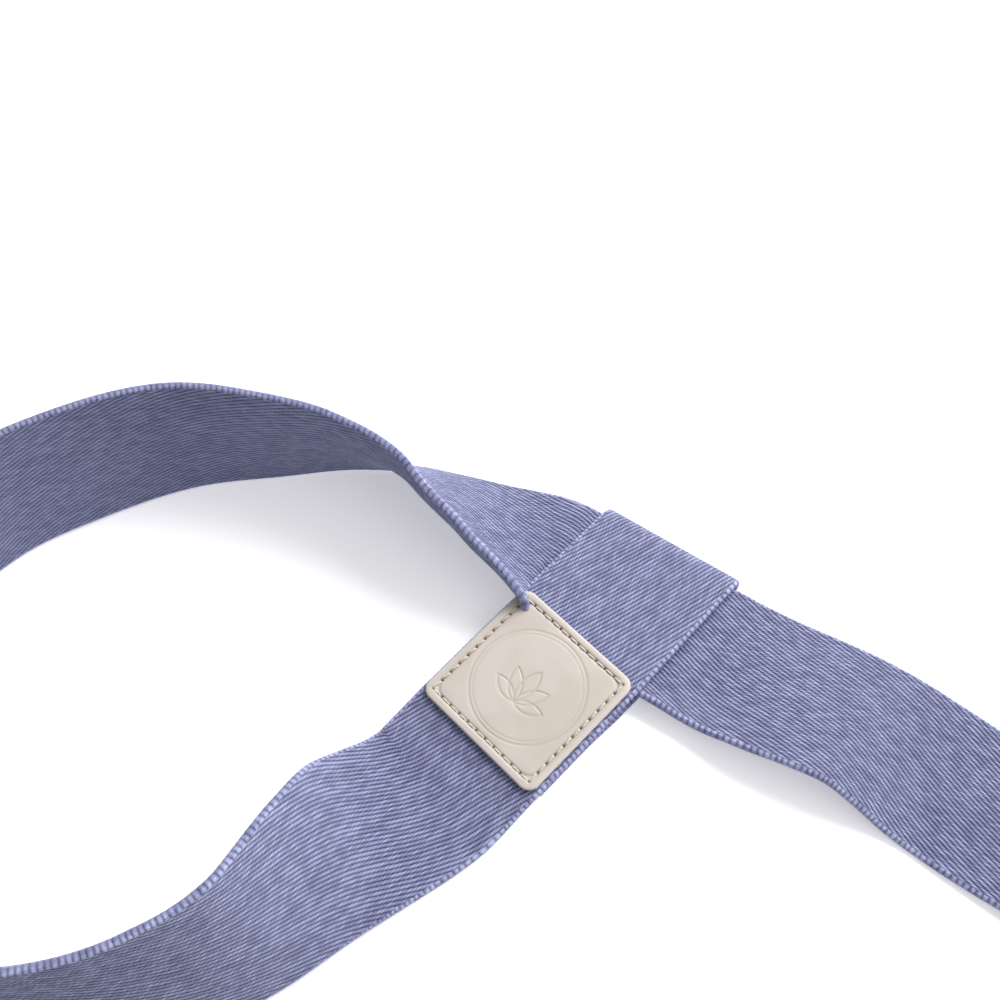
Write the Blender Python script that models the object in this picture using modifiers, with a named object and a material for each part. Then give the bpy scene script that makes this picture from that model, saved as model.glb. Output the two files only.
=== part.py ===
"""Stretching strap of twill webbing, with a sewn keeper loop at each end.

One length of flat webbing. At the near end it is folded over the running strap, under it and
back, and sewn down through a square leather patch: that fold is the keeper. The strap runs
through its own keeper, so it closes a noose that draws tight. The rest of the strap lies over
the table to a neat roll, with the far keeper loop as the roll's core.

Frame: the origin is on the table, under the middle of the near keeper. +X runs along the strap
through the keeper, from the noose towards the roll, and +Z is up. Lengths are in metres.
"""
import math

import bmesh
import bpy
import numpy as np
from mathutils import Matrix, Vector

MM = 0.001

# Webbing
WEB_WIDTH = 38 * MM
WEB_THICK = 2 * MM
GAP = 0.3 * MM

# Near keeper. Its band crosses the strap at a slant, and its fold is parallel to the strap.
# Places along the band are measured from the strap's middle, positive towards the fold.
BAND_SLANT = math.radians(11)
BAND_CROSSING_X = 1.1 * MM
FOLD_ALONG = 17.7 * MM
FOLD_SHIFT_X = -1 * MM
ROOF_Z = 6.6 * MM
BAND_END = -57 * MM
RAW_END = -49 * MM
TABLE_LAYER_Z = WEB_THICK / 2

# Leather patch, which lies on the band where it slopes down from the keeper to the table
PATCH_SIDE = 36 * MM
PATCH_THICK = 1.2 * MM
PATCH_CORNER = 3 * MM
PATCH_EDGE_ROUND = 0.35 * MM
PATCH_ALONG = -33.2 * MM
PATCH_ACROSS = -0.3 * MM
PATCH_SLOPE = math.radians(4.75)
BAND_Z_UNDER_PATCH = 5.3 * MM
SEAM_INSET = 2.2 * MM
SEAM_CORNER = 1.2 * MM
STITCHES_A_SIDE = 11
THREAD_RADIUS = 0.2 * MM
THREAD_DIP = 0.15 * MM
CHANNEL_RADIUS = 0.75 * MM
BOBBIN_START = -27.5 * MM

# Roll of spare webbing, and the far keeper loop inside it
ROLL_X = 150 * MM
ROLL_Y = 3 * MM
ROLL_RADIUS = 30.4 * MM
ROLL_PITCH = 2.9 * MM
ROLL_TURNS = 6.5
ROLL_STEP = math.radians(12)
FAR_LOOP_TURNS = 0.8
FAR_LAYER_STEP = 2.6 * MM
FAR_SEAM_FROM = math.radians(30)
FAR_SEAM_TO = math.radians(175)
FAR_SEAM_HALF_WIDTH = 15 * MM
FAR_THREAD_RADIUS = 0.15 * MM
THREAD_LIFT = 0.1 * MM

ROUTE_STEP = 4 * MM

# The strap from the sewn end of the keeper, round the noose, through the keeper and on to the
# roll, given by its outer edge: x, y and height of the edge's middle (mm), and bank (degrees),
# the angle by which the webbing stands up from the table. Each stretch starts where the one
# before it ends.
LOWER_ARM = (
    (8.87, -59.58, 2.3, 0),
    (7.15, -68.5, 1.3, 0),
    (4, -77.3, 1.1, 3),
    (-0.3, -87.7, 1.1, 14),
    (-5.8, -100.7, 1.1, 34),
    (-13, -118, 0.9, 53),
    (-26, -139, 0.7, 64),
    (-48, -155.5, 0.5, 73),
    (-74, -161, 0.4, 82),
    (-100, -153, 0.3, 87),
    (-122, -135, 0.3, 91),
    (-134, -112, 0.3, 94),
    (-137, -92, 0.3, 96),
)
UPPER_ARM = (
    (-137, -92, 0.3, 96),
    (-134, -72, 0.3, 99),
    (-124.5, -53, 0.3, 102),
    (-110, -32, 0.3, 99),
    (-93.5, -17, 0.4, 87),
    (-79, -4.5, 0.6, 70),
    (-62, 6.3, 1.0, 54),
    (-54, 9.8, 1.3, 46),
    (-46, 12.8, 1.8, 36),
    (-40, 14.7, 2.4, 25),
    (-35, 16.2, 3.1, 10),
    (-31, 17.2, 3.7, 0),
    (-26.5, 18.1, 3.8, 0),
    (-22, 18.5, 3.8, 0),
)
RUNNING = (
    (-22, 18.5, 3.8, 0),
    (-18, 18.6, 3.8, 0),
    (0, 18.6, 3.8, 0),
    (20, 18.6, 3.8, 0),
    (31, 18.6, 3.8, 0),
    (38, 19, 3.7, 6),
    (48, 20.3, 3.4, 11),
    (60, 22, 3.0, 12),
)
TAIL = (
    (60, 22, 3.0, 12),
    (72, 22.8, 2.6, 8),
    (84, 22.7, 2.0, 2),
    (98, 22, 1.8, 0),
    (112, 22, 2.2, 0),
    (125, 22, 2.6, 0),
)
STRETCHES = (
    ("noose_lower_arm", LOWER_ARM),
    ("noose_upper_arm", UPPER_ARM),
    ("running_strap", RUNNING),
    ("tail_strap", TAIL),
)


# ---------------------------------------------------------------- scene and materials
def clear_scene():
    for thing in list(bpy.data.objects):
        bpy.data.objects.remove(thing, do_unlink=True)


def new_collection(name):
    collection = bpy.data.collections.new(name)
    bpy.context.scene.collection.children.link(collection)
    return collection


def new_material(name, colour, roughness):
    material = bpy.data.materials.new(name)
    material.use_nodes = True
    shader = material.node_tree.nodes["Principled BSDF"]
    shader.inputs["Base Color"].default_value = (*colour, 1)
    shader.inputs["Roughness"].default_value = roughness
    shader.inputs["Metallic"].default_value = 0
    return material


def add_object(name, data, collection, material=None):
    thing = bpy.data.objects.new(name, data)
    collection.objects.link(thing)
    if material:
        data.materials.append(material)
    return thing


def mesh_of(curve_object):
    """Turn a curve object into a mesh object of the same name, with its caps welded."""
    bpy.context.view_layer.update()
    evaluated = curve_object.evaluated_get(bpy.context.evaluated_depsgraph_get())
    mesh = bpy.data.meshes.new_from_object(evaluated)
    shape = bmesh.new()
    shape.from_mesh(mesh)
    bmesh.ops.remove_doubles(shape, verts=shape.verts, dist=0.001 * MM)
    shape.to_mesh(mesh)
    shape.free()
    name = curve_object.name
    collection = curve_object.users_collection[0]
    matrix = curve_object.matrix_world.copy()
    bpy.data.objects.remove(curve_object, do_unlink=True)
    solid = bpy.data.objects.new(name, mesh)
    collection.objects.link(solid)
    solid.matrix_world = matrix
    return solid


# ---------------------------------------------------------------- outlines and cords
def band_outline(path):
    """Closed outline of webbing seen edge on, from the centre line of its thickness."""
    path = np.array(path)
    along = np.gradient(path, axis=0)
    along /= np.linalg.norm(along, axis=1)[:, None]
    side = np.column_stack((-along[:, 1], along[:, 0])) * WEB_THICK / 2
    return np.concatenate((path + side, (path - side)[::-1]))


def flat_outline(name, outline, depth, collection, material):
    """A filled flat outline in the XY plane, thickened to depth about that plane."""
    data = bpy.data.curves.new(name, "CURVE")
    data.dimensions = "2D"
    data.fill_mode = "BOTH"
    data.extrude = depth / 2
    spline = data.splines.new("POLY")
    spline.points.add(len(outline) - 1)
    for point, (x, y) in zip(spline.points, outline):
        point.co = (x, y, 0, 1)
    spline.use_cyclic_u = True
    return add_object(name, data, collection, material)


def cord(name, points, radius, closed, collection, material=None):
    """Round cord along the points, as a ring or with capped ends."""
    data = bpy.data.curves.new(name, "CURVE")
    data.dimensions = "3D"
    data.bevel_depth = radius
    data.bevel_resolution = 2
    data.use_fill_caps = not closed
    spline = data.splines.new("POLY")
    spline.points.add(len(points) - 1)
    for point, place in zip(spline.points, points):
        point.co = (*place, 1)
    spline.use_cyclic_u = closed
    return add_object(name, data, collection, material)


def rounded_square(side, corner, pieces):
    """Points round a square with round corners, and each straight side cut into pieces."""
    half = side / 2 - corner
    points = []
    for quarter in range(4):
        turn = quarter * math.pi / 2
        middle = Matrix.Rotation(turn, 2) @ Vector((half, half))
        ahead = Matrix.Rotation(turn, 2) @ Vector((-2 * half, 0))
        for step in range(5):
            angle = turn + step / 4 * math.pi / 2
            points.append(middle + corner * Vector((math.cos(angle), math.sin(angle))))
        start = points[-1]
        points += [start + ahead * step / pieces for step in range(1, pieces)]
    return points


# ---------------------------------------------------------------- near keeper
def layer_on_patch_slope(along):
    """Height of the band's upper layer where it lies under the patch."""
    return BAND_Z_UNDER_PATCH + (along - PATCH_ALONG) * math.tan(PATCH_SLOPE)


def band_place(along, across, height):
    """World place of a point on the band; past the patch it swings round to its fold."""
    patch_top = PATCH_ALONG + PATCH_SIDE / 2
    swing = max(along - patch_top, 0) / (FOLD_ALONG - patch_top)
    x = BAND_CROSSING_X + along * math.sin(BAND_SLANT) + across * math.cos(BAND_SLANT)
    y = along * math.cos(BAND_SLANT) - across * math.sin(BAND_SLANT)
    x += swing * (FOLD_SHIFT_X + across * (1 - math.cos(BAND_SLANT)))
    y += swing * across * math.sin(BAND_SLANT)
    return x, y, height


def keeper_path():
    """Centre line of the band seen edge on: up the slope, round the fold, and back beneath."""
    step = WEB_THICK + GAP
    path = [(BAND_END + GAP / 2, 2.3 * MM), (-53.5 * MM, 3.2 * MM)]
    for along in (-50 * MM, -40 * MM, -30 * MM, -22 * MM):
        path.append((along, layer_on_patch_slope(along)))
    path += [(-14 * MM, 6.6 * MM), (0, ROOF_Z), (FOLD_ALONG, ROOF_Z)]
    radius = (ROOF_Z - TABLE_LAYER_Z) / 2
    for turn in range(15, 180, 15):
        angle = math.radians(90 - turn)
        path.append((FOLD_ALONG + radius * math.cos(angle),
                     TABLE_LAYER_Z + radius + radius * math.sin(angle)))
    path += [(FOLD_ALONG, TABLE_LAYER_Z), (0, TABLE_LAYER_Z), (-23.5 * MM, TABLE_LAYER_Z)]
    path += [(-26.5 * MM, 1.7 * MM), (-29.5 * MM, 2.6 * MM)]
    for along in (-33 * MM, -40 * MM, RAW_END):
        path.append((along, layer_on_patch_slope(along) - step))
    return path


def keeper_loop(collection, material):
    outline = band_outline(keeper_path())
    band = mesh_of(flat_outline("keeper_loop", outline, WEB_WIDTH, collection, material))
    for vertex in band.data.vertices:
        along, height, across = vertex.co
        vertex.co = band_place(along, across, height)
    return band


def place_on_patch(thing):
    """Stand an object that is drawn flat at the origin on the band's slope, under the patch."""
    x, y, _ = band_place(PATCH_ALONG, PATCH_ACROSS, 0)
    height = BAND_Z_UNDER_PATCH + WEB_THICK / 2 + GAP
    spot = Matrix.Translation((x, y, height))
    heading = Matrix.Rotation(-BAND_SLANT, 4, "Z")
    slope = Matrix.Rotation(PATCH_SLOPE, 4, "X")
    thing.matrix_world = spot @ heading @ slope


def leather_patch(collection, cutters, material):
    outline = rounded_square(PATCH_SIDE, PATCH_CORNER, 1)
    flat = flat_outline("leather_patch", outline, PATCH_THICK, collection, material)
    flat.location.z = PATCH_THICK / 2
    patch = mesh_of(flat)
    patch.data.transform(patch.matrix_world)
    bevel = patch.modifiers.new("rounded_edge", "BEVEL")
    bevel.width = PATCH_EDGE_ROUND
    bevel.segments = 2
    bevel.limit_method = "ANGLE"
    seam = rounded_square(PATCH_SIDE - 2 * SEAM_INSET, SEAM_CORNER, 1)
    channel = cord("seam_channel", [(x, y, PATCH_THICK) for x, y in seam], CHANNEL_RADIUS,
                   True, cutters)
    channel = mesh_of(channel)
    channel.hide_render = True
    channel.display_type = "WIRE"
    cut = patch.modifiers.new("seam_channel", "BOOLEAN")
    cut.operation = "DIFFERENCE"
    cut.solver = "EXACT"
    cut.object = channel
    place_on_patch(patch)
    place_on_patch(channel)


def patch_needle_thread(collection, material):
    """The upper thread: a ring that dips into the leather at the end of every stitch."""
    steps = 4 * STITCHES_A_SIDE
    ring = rounded_square(PATCH_SIDE - 2 * SEAM_INSET, SEAM_CORNER, steps)
    points = []
    for number, (x, y) in enumerate(ring):
        dip = THREAD_DIP * math.cos(number * math.pi / 2)
        points.append((x, y, PATCH_THICK - 0.28 * MM - dip))
    place_on_patch(cord("patch_needle_thread", points, THREAD_RADIUS, True, collection, material))


def patch_bobbin_thread(collection, material):
    """The lower thread: along three sides of the seam, on the underside of the raw end."""
    half = PATCH_SIDE / 2 - SEAM_INSET
    lift = WEB_THICK / 2 + THREAD_RADIUS + THREAD_LIFT
    ends = [(BOBBIN_START - run * MM, side) for side in (-1, 1) for run in (0, 5, 10, 15)]
    route = [(along, side * half) for along, side in ends[:4]]
    route += [(PATCH_ALONG - half, across * half) for across in (-0.97, -0.5, 0, 0.5, 0.97)]
    route += [(along, side * half) for along, side in reversed(ends[4:])]
    under = np.array(keeper_path()[::-1][:6])
    points = []
    for along, across in route:
        height = np.interp(along, under[:, 0], under[:, 1]) - lift
        points.append(band_place(along, across + PATCH_ACROSS, height))
    cord("patch_bobbin_thread", points, THREAD_RADIUS, False, collection, material)


# ---------------------------------------------------------------- noose and running strap
def route_between(stations, start, end):
    """Points and headings of a smooth curve through the stations, between two of them.

    The curve is cubic between stations, with slopes taken from their neighbours, and it keeps
    half a gap clear of both ends.
    """
    knots = np.array(stations, dtype=float)
    knots[:, :3] *= MM
    chords = np.linalg.norm(np.diff(knots[:, :3], axis=0), axis=1)
    at = np.concatenate(([0], np.cumsum(chords)))
    slopes = np.gradient(knots, at, axis=0)
    count = int((at[end] - at[start]) / ROUTE_STEP) + 1
    wanted = np.linspace(at[start] + GAP / 2, at[end] - GAP / 2, count)
    piece = np.clip(np.searchsorted(at, wanted, side="right") - 1, 0, len(chords) - 1)
    span = chords[piece][:, None]
    t = ((wanted - at[piece]) / chords[piece])[:, None]
    before, after = knots[piece], knots[piece + 1]
    leaving, arriving = slopes[piece] * span, slopes[piece + 1] * span
    points = (
        (2 * t**3 - 3 * t**2 + 1) * before
        + (t**3 - 2 * t**2 + t) * leaving
        + (3 * t**2 - 2 * t**3) * after
        + (t**3 - t**2) * arriving
    )
    headings = (
        6 * (t - t**2) * (after - before)
        + (3 * t**2 - 4 * t + 1) * leaving
        + (3 * t**2 - 2 * t) * arriving
    )
    return points, headings[:, :2]


def strap_edges(points, headings):
    """The outer edge, and the inner edge one webbing width away, square to the run and banked."""
    outer = points[:, :3]
    along = headings / np.linalg.norm(headings, axis=1)[:, None]
    inward = np.column_stack((along[:, 1], -along[:, 0], np.zeros(len(along))))
    bank = np.radians(points[:, 3])[:, None]
    inner = outer + WEB_WIDTH * (np.cos(bank) * inward + np.sin(bank) * np.array([0, 0, 1]))
    return outer, inner


def ribbon(name, edges, collection, material):
    """Webbing bridged between its two edges, given its thickness by Solidify."""
    shape = bmesh.new()
    sides = []
    for edge in edges:
        verts = [shape.verts.new(place) for place in edge]
        sides += [shape.edges.new(pair) for pair in zip(verts, verts[1:])]
    bmesh.ops.bridge_loops(shape, edges=sides)
    bmesh.ops.recalc_face_normals(shape, faces=shape.faces)
    mesh = bpy.data.meshes.new(name)
    shape.to_mesh(mesh)
    shape.free()
    mesh.shade_smooth()
    strap = add_object(name, mesh, collection, material)
    solidify = strap.modifiers.new("thickness", "SOLIDIFY")
    solidify.thickness = WEB_THICK
    solidify.offset = 0
    solidify.use_even_offset = True
    return strap


def strap_stretches(collection, material):
    stations = [STRETCHES[0][1][0]]
    for _, stretch in STRETCHES:
        stations += stretch[1:]
    start = 0
    for name, stretch in STRETCHES:
        end = start + len(stretch) - 1
        edges = strap_edges(*route_between(stations, start, end))
        ribbon(name, edges, collection, material)
        start = end


# ---------------------------------------------------------------- roll and far keeper
def roll_place(turn, inset=0.0):
    """Place (x, z) on the roll's spiral after a turn from its lowest point, inset inwards."""
    radius = ROLL_RADIUS - ROLL_PITCH * turn / (2 * math.pi) - inset
    entry_z = WEB_THICK / 2
    return (ROLL_X + radius * math.sin(turn),
            entry_z + ROLL_RADIUS - radius * math.cos(turn))


def upright(thing):
    """Stand an outline drawn in (x, z) upright, with its depth across the strap."""
    thing.matrix_world = Matrix.Translation((0, ROLL_Y, 0)) @ Matrix.Rotation(math.pi / 2, 4, "X")


def rolled_tail(collection, material):
    entry_x, _, entry_z, _ = TAIL[-1]
    path = []
    for step in range(6):
        t = step / 6
        fall = t * t * (3 - 2 * t)
        x = entry_x * MM + GAP / 2 + t * (ROLL_X - entry_x * MM)
        path.append((x, entry_z * MM + fall * (WEB_THICK / 2 - entry_z * MM)))
    steps = round(ROLL_TURNS * 2 * math.pi / ROLL_STEP)
    last = ROLL_TURNS * 2 * math.pi
    path += [roll_place(last * step / steps) for step in range(steps + 1)]
    upright(flat_outline("rolled_tail", band_outline(path), WEB_WIDTH, collection, material))


def far_keeper_loop(collection, material):
    """The strap's other end: out along the spiral, round the fold and back along the inside."""
    start = ROLL_TURNS * 2 * math.pi + math.radians(1.5)
    steps = round(FAR_LOOP_TURNS * 2 * math.pi / ROLL_STEP)
    turns = [start + FAR_LOOP_TURNS * 2 * math.pi * step / steps for step in range(steps + 1)]
    path = [roll_place(turn) for turn in turns]
    radius = FAR_LAYER_STEP / 2
    outer_x, outer_z = path[-1]
    inner_x, inner_z = roll_place(turns[-1], FAR_LAYER_STEP)
    centre = ((outer_x + inner_x) / 2, (outer_z + inner_z) / 2)
    outward = math.atan2(outer_z - inner_z, outer_x - inner_x)
    for turn in range(20, 180, 20):
        angle = outward + math.radians(turn)
        path.append((centre[0] + radius * math.cos(angle), centre[1] + radius * math.sin(angle)))
    path += [roll_place(turn, FAR_LAYER_STEP) for turn in reversed(turns)]
    upright(flat_outline("far_keeper_loop", band_outline(path), WEB_WIDTH, collection, material))


def far_thread(name, inset, collection, material):
    """A ring of thread round the far keeper's seam, on a face inset from the outer layer."""
    start = ROLL_TURNS * 2 * math.pi
    across = [-FAR_SEAM_HALF_WIDTH, -5 * MM, 5 * MM, FAR_SEAM_HALF_WIDTH]
    turns = np.linspace(start + FAR_SEAM_FROM, start + FAR_SEAM_TO, 13)
    ring = [(turns[0], width) for width in reversed(across)]
    ring += [(turn, across[0]) for turn in turns[1:-1]]
    ring += [(turns[-1], width) for width in across]
    ring += [(turn, across[-1]) for turn in turns[-2:0:-1]]
    points = []
    for turn, width in ring:
        x, z = roll_place(turn, inset)
        points.append((x, ROLL_Y + width, z))
    cord(name, points, FAR_THREAD_RADIUS, True, collection, material)


def far_seam(collection, material):
    stand_off = WEB_THICK / 2 + FAR_THREAD_RADIUS + THREAD_LIFT
    far_thread("far_needle_thread", -stand_off, collection, material)
    far_thread("far_bobbin_thread", FAR_LAYER_STEP + stand_off, collection, material)


# ---------------------------------------------------------------- assembly
def build():
    clear_scene()
    strap = new_collection("stretching_strap")
    cutters = new_collection("cutters")
    webbing = new_material("lavender_webbing", (0.27, 0.30, 0.50), 0.85)
    leather = new_material("cream_leather", (0.72, 0.66, 0.58), 0.55)
    thread = new_material("cream_thread", (0.66, 0.60, 0.50), 0.7)
    keeper_loop(strap, webbing)
    leather_patch(strap, cutters, leather)
    patch_needle_thread(strap, thread)
    patch_bobbin_thread(strap, thread)
    strap_stretches(strap, webbing)
    rolled_tail(strap, webbing)
    far_keeper_loop(strap, webbing)
    far_seam(strap, thread)


build()
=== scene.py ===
import math

import bpy
import numpy as np
from mathutils import Matrix, Vector


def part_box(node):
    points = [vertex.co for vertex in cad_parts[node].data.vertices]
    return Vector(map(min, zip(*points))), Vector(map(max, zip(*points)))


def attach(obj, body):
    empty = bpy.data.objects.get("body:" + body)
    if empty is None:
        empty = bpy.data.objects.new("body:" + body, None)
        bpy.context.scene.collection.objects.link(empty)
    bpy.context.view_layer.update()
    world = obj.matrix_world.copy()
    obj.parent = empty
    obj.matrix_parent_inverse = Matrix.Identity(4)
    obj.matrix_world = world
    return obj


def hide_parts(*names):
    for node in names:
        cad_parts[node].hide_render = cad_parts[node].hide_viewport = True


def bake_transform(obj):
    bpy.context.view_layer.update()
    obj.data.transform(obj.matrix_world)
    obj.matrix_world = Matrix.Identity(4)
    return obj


# The looks of a stretching strap. One length of twill webbing makes every loop of it: from the
# raw end it runs under the keeper, over its fold, under the leather patch, round the noose, back
# through the keeper and away to the roll. Its middle surface is worked out once, as rows square
# to the run, and cut into the pieces that ride on each body. Lengths are in metres.

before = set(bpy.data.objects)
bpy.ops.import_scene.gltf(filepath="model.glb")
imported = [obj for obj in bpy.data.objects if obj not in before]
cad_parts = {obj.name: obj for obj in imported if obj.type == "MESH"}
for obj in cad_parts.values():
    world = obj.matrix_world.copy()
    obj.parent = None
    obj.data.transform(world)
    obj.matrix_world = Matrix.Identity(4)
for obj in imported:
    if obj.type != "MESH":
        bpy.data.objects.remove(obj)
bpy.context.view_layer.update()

MM = 0.001

# ---------------------------------------------------------------- sizes of the weave
WIDTH = 38 * MM
THICK = 2 * MM
EDGE_ROUND = 0.9 * MM
RIB_PITCH = 0.97 * MM
FLOAT_PITCH = 1.25 * MM
RIB_LEAN = math.radians(17)
FLOAT_SLANT = 1.7
RIB_DEPTH = 0.16 * MM
SELVEDGE = 1.1 * MM
LOOP_PITCH = 1.4 * MM
ROW_STEP = 0.54 * MM
YARN_STEP = 0.24 * MM
ROLL_ROW_STEP = 1.0 * MM
ROLL_YARN_STEP = 0.8 * MM

# ---------------------------------------------------------------- near keeper and patch
BAND_SLANT = math.radians(11)
BAND_CROSSING_X = 1.1 * MM
FOLD_ALONG = 17.7 * MM
FOLD_SHIFT_X = -1 * MM
ROOF_Z = 6.6 * MM
TABLE_Z = THICK / 2
BAND_END = -57 * MM
RAW_END = -49 * MM
PATCH_SIDE = 36 * MM
PATCH_THICK = 1.2 * MM
PATCH_CORNER = 3 * MM
PATCH_ALONG = -33.2 * MM
PATCH_SLOPE = math.radians(4.75)
BAND_Z_UNDER_PATCH = 5.3 * MM
GAP = 0.3 * MM

# ---------------------------------------------------------------- tail and roll
TAIL_END_X = 125 * MM
TAIL_END_Z = 2.6 * MM
CREASE_END_X = 140 * MM
ROLL_LEAD = 25 * MM
ROLL_Y = 3 * MM
ROLL_PITCH = 2.9 * MM
ROLL_TURNS = 6.5
FAR_LOOP_TURNS = 0.8
FAR_LAYER_STEP = 2.6 * MM

# ---------------------------------------------------------------- patch seam and mark
SEAM_INSET = 2.2 * MM
STITCHES_A_SIDE = 11
THREAD_RADIUS = 0.24 * MM
HOLE_RADIUS = 0.30 * MM
HOLE_DEPTH = 0.5 * MM
CHANNEL_RADIUS = 0.42 * MM
CHANNEL_DEPTH = 0.26 * MM
MARK_DEPTH = 0.13 * MM
MARK_LINE = 0.24 * MM
OUTER_RING = 14 * MM
INNER_RING = 13.1 * MM
PETAL_LENGTH = 9.5 * MM

# ---------------------------------------------------------------- where the strap is cut
FAR_ARC_END_Y = -38 * MM
KEEPER_ENTRY_X = -27 * MM
CREST_START_X = 35 * MM
CREST_END_X = 85 * MM
CREASE_START_X = 110 * MM

# The strap by its outer edge: x, y, z (mm) and bank (degrees) at that edge, then by how many
# degrees the inner edge curls further up, and over how many millimetres.
ROUTE = np.array((
    (8.87, -59.58, 2.3, 0, 0, 12),
    (7.15, -68.5, 1.3, 0, 0, 12),
    (4, -77.3, 1.1, 0, 0, 14),
    (-0.3, -87.1, 1.1, 9, 0, 16),
    (-5.8, -99.2, 1.1, 37, 6, 18),
    (-13, -116.5, 0.9, 57, 8, 20),
    (-26, -138, 0.7, 63, 12, 20),
    (-48, -154.5, 0.5, 72, 9, 20),
    (-74, -161, 0.4, 81, 6, 20),
    (-100, -153, 0.3, 87, 3, 20),
    (-122, -135, 0.3, 92, 0, 20),
    (-134, -112, 0.3, 96, 0, 20),
    (-137, -92, 0.3, 99, 0, 20),
    (-134, -72, 0.3, 103, 0, 20),
    (-124.5, -53, 0.3, 104, 2, 20),
    (-110, -32, 0.3, 99, 8, 20),
    (-93.5, -17, 0.4, 86, 24, 20),
    (-79, -4.5, 0.6, 71, 36, 20),
    (-62, 5.2, 1.0, 53, 50, 20),
    (-54, 8.2, 1.3, 42, 60, 19),
    (-46, 10.9, 1.8, 31, 72, 19),
    (-40, 12.8, 2.4, 21, 84, 18),
    (-35, 14.5, 3.1, 12, 92, 17),
    (-31, 15.9, 3.5, 6, 92, 14),
    (-27, 17.3, 3.7, 0, 62, 12),
    (-23.5, 18.2, 3.8, 0, 18, 9),
    (-20.5, 18.5, 3.8, 0, 2, 9),
    (-17, 18.6, 3.8, 0, 0, 8),
    (0, 18.6, 3.8, 0, 20, 8),
    (20, 18.8, 3.8, 0, 30, 9),
    (31, 19.1, 3.8, 0, 22, 12),
    (38, 19.6, 3.7, 5, 8, 14),
    (48, 21, 3.4, 9, 0, 14),
    (60, 22.7, 3.0, 9, 0, 14),
    (72, 23.3, 2.6, 4, 0, 14),
    (84, 23, 2.0, -1, 0, 14),
    (98, 22.2, 1.8, -1, 0, 14),
    (112, 22, 2.2, 0, 0, 14),
    (125, 22, 2.6, 0, 0, 14),
    (131, 22, 2.37, 0, 0, 14),
    (138, 22, 1.75, 0, 0, 14),
    (144, 22, 1.23, 0, 0, 14),
    (150, 22, 1.0, 0, 0, 14),
))


# ---------------------------------------------------------------- shader maths
class Sum:
    """A socket that can be added, multiplied and compared, each sign adding its Math node."""

    def __init__(self, finish, socket):
        self.finish = finish
        self.socket = socket

    def math(self, operation, *others):
        values = [self, *others]
        return self.finish.node("ShaderNodeMath", {"operation": operation}, values)

    def __add__(self, other):
        return self.math("ADD", other)

    def __sub__(self, other):
        return self.math("SUBTRACT", other)

    def __mul__(self, other):
        return self.math("MULTIPLY", other)

    def __pow__(self, other):
        return self.math("POWER", other)

    __radd__ = __add__

    def __rsub__(self, other):
        return self.finish.node("ShaderNodeMath", {"operation": "SUBTRACT"}, [other, self])

    def clamped(self):
        return self.finish.node("ShaderNodeClamp", {}, [self, 0.0, 1.0])

    def between(self, low, high):
        """0 below low, 1 above high, and a smooth rise from one to the other."""
        settings = {"interpolation_type": "SMOOTHSTEP"}
        return self.finish.node("ShaderNodeMapRange", settings, [self, low, high, 0.0, 1.0])


class Finish:
    """A material being made, with its Principled shader."""

    def __init__(self, name):
        self.material = bpy.data.materials.new(name)
        self.material.use_nodes = True
        self.tree = self.material.node_tree
        self.shader = self.tree.nodes["Principled BSDF"]

    def set(self, node, key, value):
        if isinstance(value, Sum):
            self.tree.links.new(value.socket, node.inputs[key])
        else:
            node.inputs[key].default_value = value

    def node(self, kind, settings, inputs, output=0):
        """A node of that type: its settings, then its sockets' values or links, by place or name."""
        node = self.tree.nodes.new(kind)
        for key, value in settings.items():
            setattr(node, key, value)
        pairs = inputs.items() if isinstance(inputs, dict) else enumerate(inputs)
        for key, value in pairs:
            self.set(node, key, value)
        return Sum(self, node.outputs[output])

    def look(self, **values):
        for key, value in values.items():
            self.set(self.shader, key.replace("_", " "), value)

    def attribute(self, name):
        return self.node("ShaderNodeAttribute", {"attribute_name": name}, {}, "Fac")

    def along_and_across(self):
        """The webbing's own coordinates in metres: u along the run, v across it."""
        uv = self.node("ShaderNodeUVMap", {"uv_map": "webbing"}, {})
        split = self.tree.nodes.new("ShaderNodeSeparateXYZ")
        self.tree.links.new(uv.socket, split.inputs[0])
        return Sum(self, split.outputs[0]), Sum(self, split.outputs[1])

    def places(self):
        return self.node("ShaderNodeTexCoord", {}, {}, "Object")

    def noise(self, vector, scale, detail=2.0, roughness=0.5):
        inputs = {"Vector": vector, "Scale": scale, "Detail": detail, "Roughness": roughness}
        return self.node("ShaderNodeTexNoise", {}, inputs, "Fac")

    def mixed(self, factor, colour_a, colour_b, way="MIX"):
        node = self.tree.nodes.new("ShaderNodeMix")
        node.data_type = "RGBA"
        node.blend_type = way
        self.set(node, 0, factor)
        self.set(node, 6, colour_a)
        self.set(node, 7, colour_b)
        return Sum(self, node.outputs[2])

    def bump(self, height, distance, strength=1.0):
        inputs = {"Strength": strength, "Distance": distance, "Height": height}
        return self.node("ShaderNodeBump", {}, inputs)

    def vector(self, x, y, z):
        return self.node("ShaderNodeCombineXYZ", {}, [x, y, z])


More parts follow.
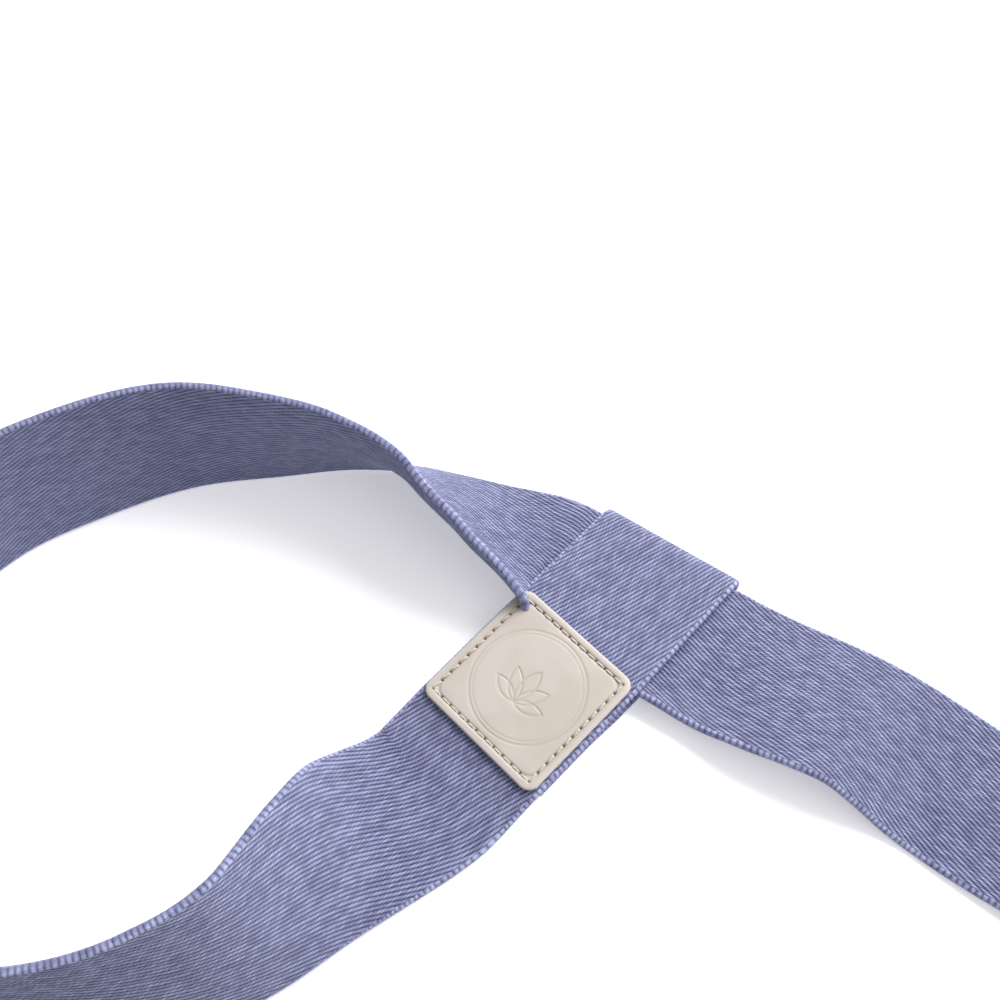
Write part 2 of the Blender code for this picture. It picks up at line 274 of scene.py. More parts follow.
# ---------------------------------------------------------------- finishes
def webbing_finish():
    """Lavender cotton twill: slanted ribs of short floats, a chained selvedge, soft blotches.

    Ribs lean 17 degrees from the run. Across them p counts ribs, and along them t counts
    floats, each rib shifted by its own random amount. The colour follows the relief too:
    painted shade in the grooves and the selvedge's holes, painted highlight on the crests.
    """
    finish = Finish("lavender_twill")
    u, v = finish.along_and_across()
    back = finish.attribute("back")
    lean_u, lean_v = math.sin(RIB_LEAN), math.cos(RIB_LEAN)
    place = finish.vector(u, v, back * 0.05)
    wander = finish.noise(place, 260.0, 2.0) - 0.5
    p = (u * lean_u + v * lean_v) * (1 / RIB_PITCH) + wander * 0.22
    rib = p.math("FLOOR")
    in_rib = p - rib
    shift = finish.node("ShaderNodeTexWhiteNoise", {"noise_dimensions": "1D"}, {"W": rib}, "Value")
    t = (u * lean_v - v * lean_u) * (1 / FLOAT_PITCH) + shift + in_rib * -FLOAT_SLANT
    jitter = finish.node("ShaderNodeTexWhiteNoise", {"noise_dimensions": "2D"},
                         [finish.vector(rib, t.math("FLOOR"), 0.0)], "Value")
    in_float = t.math("FRACT")
    crest = 1 - (in_rib * 2 - 1).math("ABSOLUTE") ** 2.6
    bead = 1 - (in_float * 2 - 1).math("ABSOLUTE") ** 2.0
    yarn = (crest * (bead * 0.62 + 0.38)).clamped()
    fibre = finish.noise(finish.vector(t * 1.2, p * 7.0, back), 4.0, 3.0, 0.6)

    # Selvedge: a chain of small loops, with painted shade in the hole between each two
    edge = WIDTH / 2 - v.math("ABSOLUTE")
    in_edge = 1 - edge.between(SELVEDGE * 0.75, SELVEDGE * 1.05)
    uneven = (finish.noise(place, 480.0, 2.0) - 0.5) * 1.6
    chain = (u * (math.pi / LOOP_PITCH) + v.math("SIGN") * 0.7 + uneven).math("SINE").math("ABSOLUTE")
    ladder = (edge * (1 / SELVEDGE) * math.pi).math("SINE").math("ABSOLUTE")
    loop = (chain ** 0.8 * (ladder * 0.35 + 0.45) + 0.28).clamped()

    relief = finish.node("ShaderNodeMix", {"data_type": "FLOAT"}, {0: in_edge, 2: yarn, 3: loop})
    blotch = finish.noise(finish.vector(u, v * 1.6, back * 0.03), 55.0, 3.0, 0.55)
    broad = finish.noise(finish.vector(u, v, back * 0.03), 14.0, 2.0, 0.5)

    # Painted shade for the low weave, the yarn's own lavender, and a painted highlight for the
    # crests; random fibre tone also moves the colour between them.
    groove_shade_and_dark_fibre = (0.042, 0.047, 0.115, 1)
    body = (0.222, 0.240, 0.425, 1)
    crest_highlight_and_pale_fibre = (0.500, 0.530, 0.780, 1)
    lit = (relief * 0.85 + (jitter - 0.5) * 0.28 + (fibre - 0.5) * 0.75 + 0.04).clamped()
    colour = finish.mixed(lit.between(0.10, 0.62), groove_shade_and_dark_fibre, body)
    # The painted highlight on the crests is weaker on side B.
    colour = finish.mixed((lit.between(0.60, 1.00) * (1 - back * 0.4)).clamped(), colour, crest_highlight_and_pale_fibre)
    tone = ((blotch - 0.5) * 0.34 + (broad - 0.5) * 0.30 + 0.5).clamped()
    shade = finish.node("ShaderNodeValToRGB", {}, [tone])
    ramp = shade.socket.node.color_ramp
    ramp.elements[0].color = (0.72, 0.71, 0.76, 1)
    ramp.elements[1].color = (1.22, 1.22, 1.18, 1)
    colour = finish.mixed(1.0, colour, shade, "MULTIPLY")
    finish.look(
        Base_Color=colour,
        Roughness=(0.93 - relief * 0.16).clamped(),
        Normal=finish.bump(relief + (fibre - 0.5) * 0.7, 0.00030, 1.0),
        Sheen_Weight=0.35,
        Sheen_Roughness=0.45,
        Specular_IOR_Level=0.25,
    )
    finish.shader.inputs["Sheen Tint"].default_value = (0.80, 0.82, 0.95, 1)
    return finish.material


def leather_finish():
    """Smooth cream leather with fine grain, a soft satin gloss and slightly rubbed edges."""
    finish = Finish("cream_leather")
    place = finish.places()
    grain = finish.node("ShaderNodeTexVoronoi", {"feature": "DISTANCE_TO_EDGE"},
                        {"Vector": place, "Scale": 2100.0, "Randomness": 1.0}, "Distance")
    fine = finish.noise(place, 2600.0, 4.0, 0.65)
    cloud = finish.noise(place, 90.0, 3.0, 0.5)
    pressed_and_hole_shade = finish.attribute("pressed_and_hole_shade")
    rim = finish.attribute("rim")
    cream = (0.487, 0.437, 0.395, 1)
    warm = (0.450, 0.399, 0.354, 1)
    pressed_tone = (0.340, 0.290, 0.245, 1)
    # Painted shade for the insides of the needle holes.
    hole_shade = (0.120, 0.095, 0.075, 1)
    worn = (0.540, 0.498, 0.455, 1)
    colour = finish.mixed(cloud.between(0.38, 0.66), cream, warm)
    colour = finish.mixed((pressed_and_hole_shade * 0.75).clamped(), colour, pressed_tone)
    # Past 1.2 the mask marks a needle hole, painted dark as shade.
    colour = finish.mixed(pressed_and_hole_shade.between(1.2, 2.4), colour, hole_shade)
    colour = finish.mixed((rim * (fine + 0.35)).clamped(), colour, worn)
    height = grain.between(0.0, 0.00016) * 0.7 + fine * 0.5
    finish.look(
        Base_Color=colour,
        Roughness=(0.46 + fine * 0.16 + pressed_and_hole_shade * 0.06).clamped(),
        Normal=finish.bump(height, 0.00003, 0.5),
        Specular_IOR_Level=0.42,
    )
    return finish.material


def thread_finish():
    """Cream sewing thread of three twisted plies, which show as slanted stripes."""
    finish = Finish("cream_thread")
    u, v = finish.along_and_across()
    ply = ((u * (1 / (0.42 * MM)) + v * 3.0) * math.tau).math("SINE") * 0.5 + 0.5
    fuzz = finish.noise(finish.places(), 3200.0, 3.0, 0.6)
    # The stripes are painted shade between the plies and painted highlight on their crests.
    colour = finish.mixed(ply, (0.36, 0.32, 0.27, 1), (0.72, 0.67, 0.58, 1))
    colour = finish.mixed((fuzz * 0.5).clamped(), colour, (0.58, 0.53, 0.46, 1))
    finish.look(
        Base_Color=colour,
        Roughness=(0.85 - ply * 0.2).clamped(),
        Normal=finish.bump(ply + fuzz * 0.4, 0.00008, 0.8),
        Sheen_Weight=0.2,
    )
    return finish.material


def table_finish():
    finish = Finish("white_table")
    veil = finish.noise(finish.places(), 9.0, 2.0, 0.4)
    colour = finish.mixed(veil, (0.93, 0.93, 0.94, 1), (0.96, 0.96, 0.965, 1))
    finish.look(Base_Color=colour, Roughness=(0.82 + veil * 0.1).clamped(),
                Specular_IOR_Level=0.15, Emission_Color=(1.0, 0.975, 0.985, 1),
                Emission_Strength=0.34)
    return finish.material


# ---------------------------------------------------------------- meshes
def piece_from(name, points, faces, finish, uv=None, normals=None, values=None):
    """A smooth mesh object from points and faces, with its own coordinates and attributes."""
    mesh = bpy.data.meshes.new(name)
    mesh.from_pydata(points, [], faces)
    mesh.shade_smooth()
    if uv is not None:
        corners = np.empty(len(mesh.loops), np.int32)
        mesh.loops.foreach_get("vertex_index", corners)
        layer = mesh.uv_layers.new(name="webbing")
        layer.data.foreach_set("uv", uv[corners].astype(np.float32).ravel())
    for key, value in (values or {}).items():
        attribute = mesh.attributes.new(key, "FLOAT", "POINT")
        attribute.data.foreach_set("value", np.asarray(value, np.float32).ravel())
    if normals is not None:
        mesh.normals_split_custom_set_from_vertices(normals)
    mesh.materials.append(finish)
    thing = bpy.data.objects.new(name, mesh)
    bpy.context.scene.collection.objects.link(thing)
    return thing


def tube_faces(rows, around):
    """Quads between the rings of a closed tube of rows, and a fan-free cap on each end.

    A cap joins point k of the end ring to point -k, so the ring closes like a seam.
    """
    at = np.arange(rows * around).reshape(rows, around)
    ahead = np.roll(at, -1, axis=1)
    faces = np.stack((at[:-1], ahead[:-1], ahead[1:], at[1:]), axis=-1).reshape(-1, 4).tolist()
    near = np.arange(0, around // 2)
    far = (around - near) % around
    for ring, flip in ((at[0], True), (at[-1], False)):
        quads = np.stack((ring[near], ring[near + 1], ring[(far - 1) % around], ring[far]),
                         axis=-1)
        for quad in quads.tolist():
            corners = list(dict.fromkeys(quad))
            faces.append(corners[::-1] if flip else corners)
    return faces


def smooth_rows(values, reach):
    """Running mean along the rows, twice, with the ends held."""
    kernel = np.ones(2 * reach + 1) / (2 * reach + 1)
    for _ in range(2):
        padded = np.concatenate((np.repeat(values[:1], reach, 0), values,
                                 np.repeat(values[-1:], reach, 0)))
        flat = padded.reshape(len(padded), -1)
        flat = np.apply_along_axis(lambda column: np.convolve(column, kernel, "valid"), 0, flat)
        values = flat.reshape(values.shape)
    return values


# ---------------------------------------------------------------- the middle surface
def spread_across(step):
    """Places across the webbing, from the outer edge to the inner, closer at the round edges."""
    flat = WIDTH / 2 - EDGE_ROUND
    turn = np.radians((90, 66, 42, 20))
    outer = flat + EDGE_ROUND * np.sin(turn)
    count = int(2 * flat / step)
    return np.concatenate((outer, np.linspace(flat, -flat, count), -outer[::-1]))


def hermite(knots, at, wanted):
    """Cubic curve through the knots with slopes from their neighbours, and its derivative."""
    slopes = np.gradient(knots, at, axis=0)
    piece = np.clip(np.searchsorted(at, wanted, side="right") - 1, 0, len(at) - 2)
    span = (at[piece + 1] - at[piece])[:, None]
    t = ((wanted - at[piece]) / span[:, 0])[:, None]
    a, b, m, n = knots[piece], knots[piece + 1], slopes[piece] * span, slopes[piece + 1] * span
    points = ((2 * t**3 - 3 * t**2 + 1) * a + (t**3 - 2 * t**2 + t) * m
              + (3 * t**2 - 2 * t**3) * b + (t**3 - t**2) * n)
    slope = (6 * (t - t**2) * (b - a) + (3 * t**2 - 4 * t + 1) * m + (3 * t**2 - 2 * t) * n)
    return points, slope / span


def strap_surface(across, step):
    """Rows of the strap's middle surface from the keeper's sewn end to the roll.

    Each row starts on the outer edge and runs inwards at the bank angle; over the last
    stretch it turns further up by the curl. The row is the running sum of its directions.
    """
    knots = ROUTE.copy()
    knots[:, :3] *= MM
    knots[:, 5] *= MM
    at = np.concatenate(([0], np.cumsum(np.linalg.norm(np.diff(knots[:, :3], axis=0), axis=1))))

    def rows(wanted):
        points, slope = hermite(knots, at, wanted)
        run = slope[:, :2] / np.linalg.norm(slope[:, :2], axis=1)[:, None]
        inward = np.column_stack((run[:, 1], -run[:, 0], np.zeros(len(run))))
        from_edge = WIDTH / 2 - across
        reach = points[:, 5:6]
        rise = np.clip((from_edge[None, :] - (WIDTH - reach)) / reach, 0, 1)
        angle = np.radians(points[:, 3:4] + points[:, 4:5] * rise**1.5)
        lengths = np.diff(from_edge)
        middle = (angle[:, 1:] + angle[:, :-1]) / 2
        level = np.concatenate((np.zeros((len(run), 1)),
                                np.cumsum(np.cos(middle) * lengths, 1)), 1)
        height = np.concatenate((np.zeros((len(run), 1)),
                                 np.cumsum(np.sin(middle) * lengths, 1)), 1)
        surface = points[:, None, :3] + level[:, :, None] * inward[:, None, :]
        surface[:, :, 2] += height
        return surface

    coarse = np.linspace(0, at[-1], 1200)
    spine = rows(coarse)[:, len(across) // 2]
    length = np.concatenate(([0], np.cumsum(np.linalg.norm(np.diff(spine, axis=0), axis=1))))
    count = int(length[-1] / step)
    return rows(np.interp(np.linspace(0, length[-1], count), length, coarse))


def keeper_profile():
    """The keeper band seen edge on, from the raw end round the fold to the sewn end."""
    def slope(along):
        return BAND_Z_UNDER_PATCH + (along - PATCH_ALONG) * math.tan(PATCH_SLOPE)

    step = THICK + GAP
    path = [(RAW_END, slope(RAW_END) - step), (-40 * MM, slope(-40 * MM) - step),
            (-33 * MM, slope(-33 * MM) - step), (-29.5 * MM, 2.6 * MM), (-26.5 * MM, 1.7 * MM),
            (-23.5 * MM, TABLE_Z), (0, TABLE_Z), (FOLD_ALONG, TABLE_Z)]
    radius = (ROOF_Z - TABLE_Z) / 2
    for turn in np.radians(np.arange(-75, 90, 15)):
        path.append((FOLD_ALONG + radius * math.cos(turn),
                     TABLE_Z + radius + radius * math.sin(turn)))
    path += [(FOLD_ALONG, ROOF_Z), (0, ROOF_Z + 0.15 * MM), (-14 * MM, 6.75 * MM)]
    path += [(along * MM, slope(along * MM)) for along in (-22, -30, -40, -50)]
    path += [(-53.5 * MM, 3.2 * MM), (BAND_END, 2.3 * MM)]
    return np.array(path)


def band_place(along, across, height):
    """Place of points on the band; past the patch it swings round to its fold."""
    patch_top = PATCH_ALONG + PATCH_SIDE / 2
    swing = np.clip((along - patch_top) / (FOLD_ALONG - patch_top), 0, None)
    x = BAND_CROSSING_X + along * math.sin(BAND_SLANT) + across * math.cos(BAND_SLANT)
    y = along * math.cos(BAND_SLANT) - across * math.sin(BAND_SLANT)
    x = x + swing * (FOLD_SHIFT_X + across * (1 - math.cos(BAND_SLANT)))
    y = y + swing * across * math.sin(BAND_SLANT)
    return np.stack((x, y, height + 0 * x), axis=-1)


def keeper_surface(across, step):
    """Rows of the keeper band: its profile, evenly spaced, carried across the slanted band."""
    profile = keeper_profile()
    lengths = np.concatenate(([0], np.cumsum(np.linalg.norm(np.diff(profile, axis=0), axis=1))))
    count = int(lengths[-1] / step)
    at = np.linspace(0, lengths[-1], count, endpoint=False)
    along = np.interp(at, lengths, profile[:, 0])
    height = np.interp(at, lengths, profile[:, 1])
    return band_place(along[:, None], across[None, :], height[:, None])


# ---------------------------------------------------------------- webbing
def weave_relief(u, v):
    """Height of the yarns above the webbing's mean face, by the same rule as the finish."""
    lean_u, lean_v = math.sin(RIB_LEAN), math.cos(RIB_LEAN)
    p = (u * lean_u + v * lean_v) / RIB_PITCH
    crest = 0.5 - 0.5 * np.cos(2 * math.pi * p)
    edge = WIDTH / 2 - np.abs(v)
    in_edge = np.clip((SELVEDGE - edge) / (0.4 * MM), 0, 1)
    chain = np.abs(np.sin(math.pi * u / LOOP_PITCH + 0.7 * np.sign(v)))
    body = RIB_DEPTH * (crest - 0.5)
    loops = RIB_DEPTH * 0.6 * (chain - 0.45)
    return body * (1 - in_edge) + loops * in_edge


def webbing_skin(surface, across, u, relief=True):
    """Points round each row: side A from the outer edge to the inner, then side B back.

    A point stands off the middle surface, along its normal, by half the thickness and the
    weave; the half thickness falls to nothing round the edges, and the selvedge's loops stand
    out sideways. Returns points, normals, the webbing's own coordinates and which side.
    """
    du = np.gradient(surface, axis=0)
    dv = np.gradient(surface, across, axis=1)
    out = dv / np.linalg.norm(dv, axis=2)[:, :, None]
    normal = np.cross(du, dv)
    normal /= np.linalg.norm(normal, axis=2)[:, :, None]
    beyond = np.clip((np.abs(across) - (WIDTH / 2 - EDGE_ROUND)) / EDGE_ROUND, 0, 1)
    half = THICK / 2 * np.sqrt(1 - beyond**2)
    grid_u, grid_v = np.meshgrid(u, across, indexing="ij")
    chain = np.abs(np.sin(math.pi * grid_u / LOOP_PITCH + 0.7 * np.sign(grid_v)))
    nudge = 0.17 * MM * (chain - 0.55) * beyond * np.sign(grid_v)
    base = surface + out * nudge[:, :, None]
    weave = weave_relief(grid_u, grid_v) if relief else 0 * grid_u
    weave = weave * np.sqrt(1 - beyond**2)
    side_a = base + normal * (half + weave)[:, :, None]
    side_b = base - normal * (half + 0.75 * weave)[:, :, None]
    points = np.concatenate((side_a, side_b[:, -2:0:-1]), axis=1)
    own_v = np.concatenate((across, across[-2:0:-1]))
    uv = np.stack(np.meshgrid(u, own_v, indexing="ij"), axis=-1)
    back = np.concatenate((np.zeros(len(across)), np.ones(len(across) - 2)))
    back = np.broadcast_to(back, points.shape[:2])
    round_row = np.roll(points, -1, axis=1) - np.roll(points, 1, axis=1)
    normals = np.cross(round_row, np.gradient(points, axis=0))
    normals /= np.linalg.norm(normals, axis=2)[:, :, None]
    return points, normals, uv, back


def webbing_piece(name, skin, first, last, finish):
    """One length of the webbing, between two rows, closed at both ends."""
    points, normals, uv, back = (part[first:last + 1] for part in skin)
    rows, around = points.shape[:2]
    return piece_from(name, points.reshape(-1, 3), tube_faces(rows, around), finish,
                      uv.reshape(-1, 2), normals.reshape(-1, 3), {"back": back})


def strap_pieces(finish):
    """Every length of webbing up to the roll, in the order of the run."""
    across = spread_across(YARN_STEP)
    band = keeper_surface(across, ROW_STEP)
    strap = strap_surface(across, ROW_STEP)
    surface = smooth_rows(np.concatenate((band, strap)), 2)
    spine = surface[:, len(across) // 2]
    u = np.concatenate(([0], np.cumsum(np.linalg.norm(np.diff(spine, axis=0), axis=1))))
    skin = webbing_skin(surface, across, u)
    sewn = len(band)

    def row_at(x, after):
        """The first row after another whose outer edge passes x, whichever way it runs."""
        edge = surface[after:, 0, 0]
        return after + int(np.argmax(np.sign(edge - x) != np.sign(edge[0] - x)))

    lowest = sewn + int(np.argmin(strap[:, 0, 1]))
    far_arc = lowest + int(np.argmax(surface[lowest:, 0, 1] > FAR_ARC_END_Y))
    entry = row_at(KEEPER_ENTRY_X, far_arc)
    crest_start = row_at(CREST_START_X, entry)
    crest_end = row_at(CREST_END_X, crest_start)
    crease_start = row_at(CREASE_START_X, crest_end)
    crease_end = row_at(CREASE_END_X, crease_start)
    cuts = {
        "keeper_band": (0, sewn, "keeper_end", "keeper_loop"),
        "noose_near_arm": (sewn, lowest, "keeper_end", "noose_lower_arm"),
        "noose_far_arc": (lowest, far_arc, None, None),
        "noose_far_arm": (far_arc, entry, "sliding_strap", "noose_upper_arm"),
        "strap_in_keeper": (entry, crest_start, "sliding_strap", "running_strap"),
        "strap_crest": (crest_start, crest_end, None, None),
        "loose_tail": (crest_end, crease_start, "tail", "tail_strap"),
        "roll_crease": (crease_start, crease_end, None, None),
    }
    pieces = {}
    for name, (first, last, body, node) in cuts.items():
        piece = webbing_piece(name, skin, first, last, finish)
        pieces[name] = piece
        if body:
            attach(piece, body)
            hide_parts(node)
    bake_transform(pieces["noose_far_arc"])
    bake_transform(pieces["strap_crest"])
    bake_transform(pieces["roll_crease"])
    return float(u[crease_end])


# ---------------------------------------------------------------- roll and far keeper
def spiral(turn, inset=0.0):
    """Place (x, z) on the roll after a turn from its lowest point; its radius falls evenly."""
    low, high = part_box("rolled_tail")
    radius_out = (high.z - low.z - THICK) / 2 + ROLL_PITCH / 4
    middle_x = TAIL_END_X + ROLL_LEAD
    radius = radius_out - ROLL_PITCH * turn / math.tau - inset
    return middle_x + radius * np.sin(turn), THICK / 2 + radius_out - radius * np.cos(turn)


def even_path(points, step):
    """The path's points at even steps along it."""
    lengths = np.concatenate(([0], np.cumsum(np.linalg.norm(np.diff(points, axis=0), axis=1))))
    at = np.linspace(0, lengths[-1], int(lengths[-1] / step))
    return np.column_stack([np.interp(at, lengths, column) for column in points.T]), lengths[-1]


def roll_skin(path, across, u_start):
    """Webbing carried along a path of (x, z) places, straight across the strap."""
    path, length = even_path(path, ROLL_ROW_STEP)
    path = smooth_rows(path, 1)
    wide = np.broadcast_to(ROLL_Y + across, (len(path), len(across)))
    surface = np.stack((np.broadcast_to(path[:, :1], wide.shape), wide,
                        np.broadcast_to(path[:, 1:], wide.shape)), axis=-1)
    u = u_start + np.linspace(0, length, len(path))
    return webbing_skin(surface, across, u, relief=False), length


def roll_pieces(finish, u_start):
    """The lead on the table and the spiral, then the far keeper: along it, over and back."""
    across = spread_across(ROLL_YARN_STEP)
    lead_x = np.linspace(CREASE_END_X, TAIL_END_X + ROLL_LEAD, 8)[:-1]
    t = (lead_x - TAIL_END_X) / ROLL_LEAD
    lead_z = TAIL_END_Z + t * t * (3 - 2 * t) * (THICK / 2 - TAIL_END_Z)
    end_turn = ROLL_TURNS * math.tau
    turns = np.arange(0, end_turn, math.radians(3))
    path = np.column_stack((np.concatenate((lead_x, spiral(turns)[0])),
                            np.concatenate((lead_z, spiral(turns)[1]))))
    skin, length = roll_skin(path, across, u_start)
    rolled = webbing_piece("rolled_strap", skin, 0, len(skin[0]) - 1, finish)
    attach(rolled, "roll")
    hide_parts("rolled_tail")

    far_turns = np.arange(end_turn + math.radians(1.5), end_turn + FAR_LOOP_TURNS * math.tau,
                          math.radians(4))
    out = np.column_stack(spiral(far_turns))
    back = np.column_stack(spiral(far_turns, FAR_LAYER_STEP))
    middle = (out[-1] + back[-1]) / 2
    outward = math.atan2(out[-1, 1] - back[-1, 1], out[-1, 0] - back[-1, 0])
    half_turn = outward + np.radians(np.arange(20, 180, 20))
    fold = middle + FAR_LAYER_STEP / 2 * np.column_stack((np.cos(half_turn), np.sin(half_turn)))
    skin, length = roll_skin(np.concatenate((out, fold, back[::-1])), across, u_start)
    keeper = webbing_piece("far_keeper", skin, 0, len(skin[0]) - 1, finish)
    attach(keeper, "roll")
    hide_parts("far_keeper_loop")


# ---------------------------------------------------------------- patch and seams
def square_outline(side, corner, count):
    """Points evenly round a square with round corners, anticlockwise."""
    half = side / 2 - corner
    turn = np.radians(np.arange(0, 91, 6))
    arcs = []
    for quarter in range(4):
        spin = quarter * math.pi / 2
        centre_x = half * (math.cos(spin) - math.sin(spin))
        centre_y = half * (math.sin(spin) + math.cos(spin))
        arcs.append(np.column_stack((centre_x + corner * np.cos(turn + spin),
                                     centre_y + corner * np.sin(turn + spin))))
    ring = np.concatenate(arcs + [arcs[0][:1]])
    lengths = np.concatenate(([0], np.cumsum(np.linalg.norm(np.diff(ring, axis=0), axis=1))))
    at = np.linspace(0, lengths[-1], count, endpoint=False)
    return np.column_stack([np.interp(at, lengths, column) for column in ring.T])


def seam_holes():
    """Needle holes along the four sides of the patch's seam, corners first on each side."""
    half = PATCH_SIDE / 2 - SEAM_INSET
    run = np.linspace(-half, half, STITCHES_A_SIDE + 1)[:-1]
    edge = np.full_like(run, half)
    return np.concatenate((np.column_stack((-run, edge)), np.column_stack((-edge, -run)),
                           np.column_stack((run, -edge)), np.column_stack((edge, run))))


def motif_depth(x, y):
    """How deep the pressed motif is: a double ring, and in it an open flower of lens petals."""
    radius = np.hypot(x, y)
    lines = [np.abs(radius - OUTER_RING), np.abs(radius - INNER_RING) + MARK_LINE / 2]
    base_y = y + 5 * MM
    for tilt in np.radians((-72, -36, 0, 36, 72)):
        length = PETAL_LENGTH - 1.6 * MM * abs(tilt)
        px = x * math.cos(tilt) - base_y * math.sin(tilt)
        py = x * math.sin(tilt) + base_y * math.cos(tilt) - length / 2
        big = length * 0.75
        aside = math.sqrt(big**2 - (length / 2)**2)
        lens = np.maximum(np.hypot(px - aside, py), np.hypot(px + aside, py)) - big
        lines.append(np.abs(lens))
    line = np.min(lines, axis=0)
    return np.exp(-(line / MARK_LINE) ** 2)


def patch_turn():
    """Turn and place that stand a flat drawing on the band's slope, from the CAD patch's box."""
    low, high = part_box("leather_patch")
    tilt = (Matrix.Rotation(-BAND_SLANT, 3, "Z") @ Matrix.Rotation(PATCH_SLOPE, 3, "X"))
    turn = np.array(tilt)
    return turn, np.array((low + high) / 2) - turn[:, 2] * PATCH_THICK / 2


def on_patch(points):
    turn, place = patch_turn()
    return points @ turn.T + place


def leather_patch(finish):
    """Rings from the centre of the underside, round the edge, to the centre of the top.

    The top is a rounded edge, a padded border, the seam's channel with its needle holes, and
    a field that rises again from the channel and carries the pressed motif.
    """
    around = 480
    outline = square_outline(PATCH_SIDE, PATCH_CORNER, around)
    half = PATCH_SIDE / 2
    edge_round = 0.45 * MM
    inset = np.concatenate((np.linspace(0, 0.6, 7), np.linspace(0.75, 3.6, 21),
                            np.linspace(3.82, 17.95, 64))) * MM
    under_inset = np.array((17.95, 12, 6, 2, 0.5)) * MM
    top = outline[None] * (1 - inset / half)[:, None, None]
    under = outline[None] * (1 - under_inset / half)[:, None, None]
    rim_rise = np.sqrt(np.clip(edge_round**2 - np.clip(edge_round - inset, 0, None)**2, 0, None))
    level = PATCH_THICK - edge_round + rim_rise
    border = 0.12 * MM * np.sin(math.pi * np.clip(inset / SEAM_INSET, 0, 1))
    channel = np.exp(-((inset - SEAM_INSET) / CHANNEL_RADIUS)**2)
    field = np.where(inset > SEAM_INSET, np.exp(-(inset - SEAM_INSET) / (1.6 * MM)), 0)
    level = level + border - CHANNEL_DEPTH * channel - 0.10 * MM * field
    x, y = top[..., 0], top[..., 1]
    hole = np.zeros_like(x)
    for hole_x, hole_y in seam_holes():
        away = np.hypot(x - hole_x, y - hole_y)
        hole = np.maximum(hole, np.exp(-(away / HOLE_RADIUS)**2))
    motif = motif_depth(x, y)
    height = level[:, None] - HOLE_DEPTH * hole - MARK_DEPTH * motif
    top = np.concatenate((top, height[..., None]), axis=-1)
    under = np.concatenate((under, np.zeros((*under.shape[:2], 1))), axis=-1)
    points = np.concatenate((under, top))
    # Pressed motif and channel up to about 1; the needle holes lie above that, for the finish's
    # painted hole shade.
    pressed_and_hole_shade = np.concatenate((np.zeros(under.shape[:2]),
                              np.clip(0.55 * motif + 0.5 * channel[:, None] + 3 * hole, 0, 3)))
    rim_mark = np.exp(-(inset / (0.7 * MM))**2)[:, None] + 0 * x
    rim = np.concatenate((np.zeros(under.shape[:2]), rim_mark))
    patch = piece_from("stitched_patch", on_patch(points.reshape(-1, 3)),
                       tube_faces(len(points), around), finish,
                       values={"pressed_and_hole_shade": pressed_and_hole_shade, "rim": rim})
    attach(patch, "keeper_end")
    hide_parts("leather_patch")


def stitches(name, starts, ends, outward, height, body, node, finish):
    """Short lengths of thread, one a stitch, arching up out of a hole and down into the next.

    A stitch's centre line is a straight run lifted by a flat-topped arch; round it the radius
    swells and shrinks with the turn of the plies, and draws in at both holes.
    """
    rings, around = 13, 10
    t = np.linspace(0, 1, rings)
    arch = 1 - np.abs(2 * t - 1)**3.5
    run = ends - starts
    centre = (starts[:, None] + run[:, None] * t[None, :, None]
              + outward[:, None] * (arch * height - 0.45 * MM * (1 - arch))[None, :, None])
    ahead = run / np.linalg.norm(run, axis=1)[:, None]
    side = np.cross(outward, ahead)
    angle = np.linspace(0, math.tau, around, endpoint=False)
    length = np.linalg.norm(run, axis=1)[:, None, None] * t[None, :, None]
    swell = 1 + 0.14 * np.cos(2 * angle[None, None, :] - length * math.tau / (1.1 * MM))
    radius = THREAD_RADIUS * swell * (0.75 + 0.25 * arch)[None, :, None]
    points = (centre[:, :, None] + radius[..., None] * (
        np.cos(angle)[None, None, :, None] * side[:, None, None]
        + np.sin(angle)[None, None, :, None] * outward[:, None, None]))
    one = tube_faces(rings, around)
    size = rings * around
    faces = [[corner + number * size for corner in face] for number in range(len(starts))
             for face in one]
    along = np.broadcast_to(length, points.shape[:3])
    turn = np.broadcast_to(angle / math.tau, points.shape[:3])
    uv = np.stack((along, turn), axis=-1).reshape(-1, 2)
    thread = piece_from(name, points.reshape(-1, 3), faces, finish, uv)
    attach(thread, body)
    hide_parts(node)


def patch_seam(finish):
    """Needle thread on the leather; on the sides along the strap its stitches lie askew."""
    holes = seam_holes()
    skew = 0.22 * MM * np.where(np.abs(holes[:, 0]) > np.abs(holes[:, 1]) - 1e-6, 1, 0)
    nexts = np.roll(holes, -1, axis=0)
    starts = np.column_stack((holes[:, 0] + skew, holes[:, 1], np.zeros(len(holes))))
    ends = np.column_stack((nexts[:, 0] - skew, nexts[:, 1], np.zeros(len(holes))))
    run = ends - starts
    starts, ends = starts + 0.06 * run, ends - 0.06 * run
    lift = PATCH_THICK - 0.20 * MM
    starts[:, 2] = ends[:, 2] = lift
    turn, _ = patch_turn()
    outward = np.broadcast_to(turn[:, 2], starts.shape)
    stitches("patch_stitches", on_patch(starts), on_patch(ends), outward, 0.10 * MM,
             "keeper_end", "patch_needle_thread", finish)


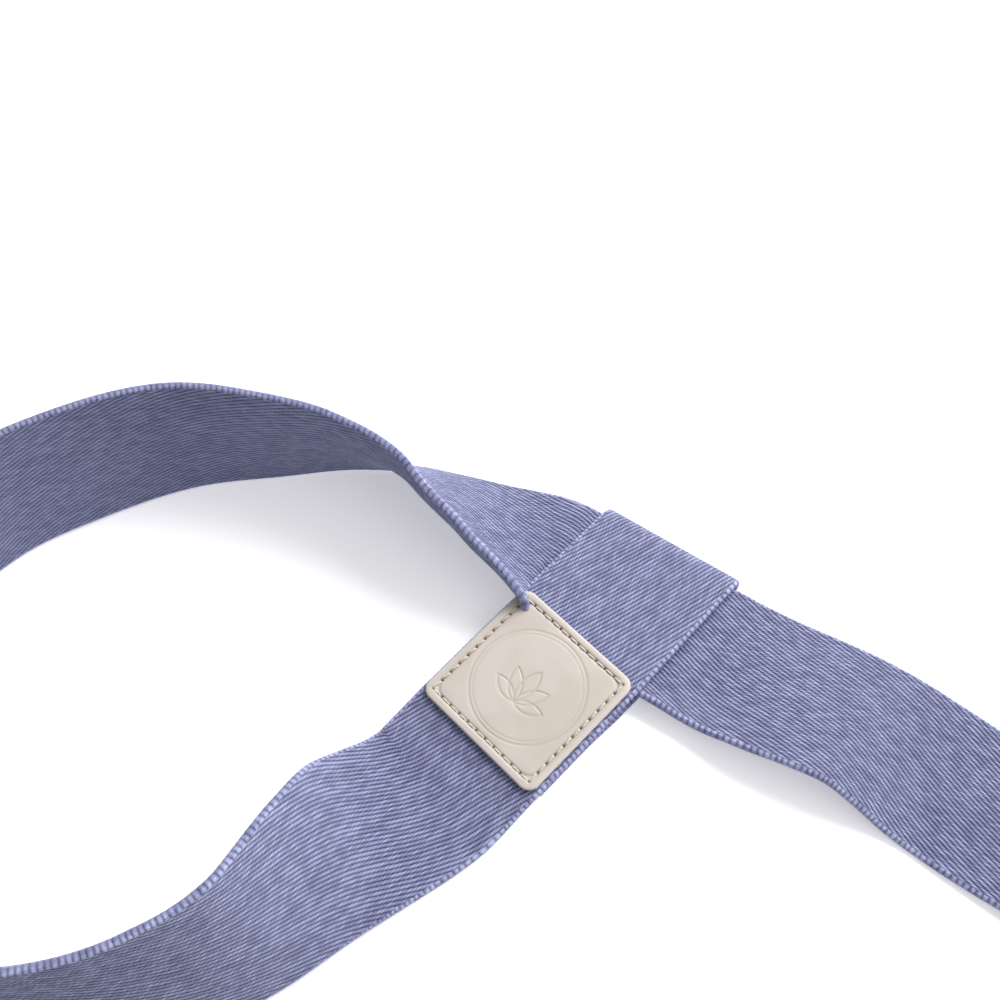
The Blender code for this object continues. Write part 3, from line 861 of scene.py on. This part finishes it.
# ---------------------------------------------------------------- floor, light and camera
def table(finish):
    size = 1.6
    mesh = bpy.data.meshes.new("table_top")
    corners = [(-size, -size, 0), (size, -size, 0), (size, size, 0), (-size, size, 0)]
    mesh.from_pydata(corners, [], [(0, 1, 2, 3)])
    mesh.materials.append(finish)
    top = bpy.data.objects.new("table_top", mesh)
    bpy.context.scene.collection.objects.link(top)


def soft_light(name, place, target, size, watts, colour=(1, 1, 1)):
    data = bpy.data.lights.new(name, "AREA")
    data.shape = "SQUARE"
    data.size = size
    data.energy = watts
    data.color = colour
    lamp = bpy.data.objects.new(name, data)
    lamp.location = place
    aim = (Vector(target) - Vector(place)).to_track_quat("-Z", "Y")
    lamp.rotation_euler = aim.to_euler()
    bpy.context.scene.collection.objects.link(lamp)


def studio():
    world = bpy.data.worlds.new("studio")
    world.use_nodes = True
    background = world.node_tree.nodes["Background"]
    background.inputs["Color"].default_value = (1.0, 1.0, 1.0, 1)
    background.inputs["Strength"].default_value = 0.42
    bpy.context.scene.world = world
    bpy.context.scene.view_settings.view_transform = "Standard"
    centre = (0, -0.02, 0)
    soft_light("key", (0.12, 0.62, 0.66), centre, 0.6, 14)
    soft_light("fill", (0.55, 0.1, 0.9), centre, 0.8, 2)


def camera():
    """From in front of the noose, above and to the right, looking down on the keeper."""
    data = bpy.data.cameras.new("camera")
    data.lens = 43.2
    data.sensor_width = 36
    data.clip_start = 0.01
    eye = bpy.data.objects.new("camera", data)
    place = Vector((0.04421, -0.11805, 0.27645))
    ahead = Vector((-0.2711, 0.4019, -0.8746)).normalized()
    right = Vector((0.829, 0.559, 0)).normalized()
    up = right.cross(ahead).normalized()
    turn = Matrix((right, up, -ahead)).transposed()
    eye.matrix_world = Matrix.Translation(place) @ turn.to_4x4()
    bpy.context.scene.collection.objects.link(eye)
    bpy.context.scene.camera = eye


camera()
studio()
table(table_finish())
twill = webbing_finish()
leather = leather_finish()
thread = thread_finish()
roll_start = strap_pieces(twill)
roll_pieces(twill, roll_start)
leather_patch(leather)
patch_seam(thread)
for node in ("patch_bobbin_thread", "far_needle_thread", "far_bobbin_thread"):
    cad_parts[node].data.materials[0] = thread
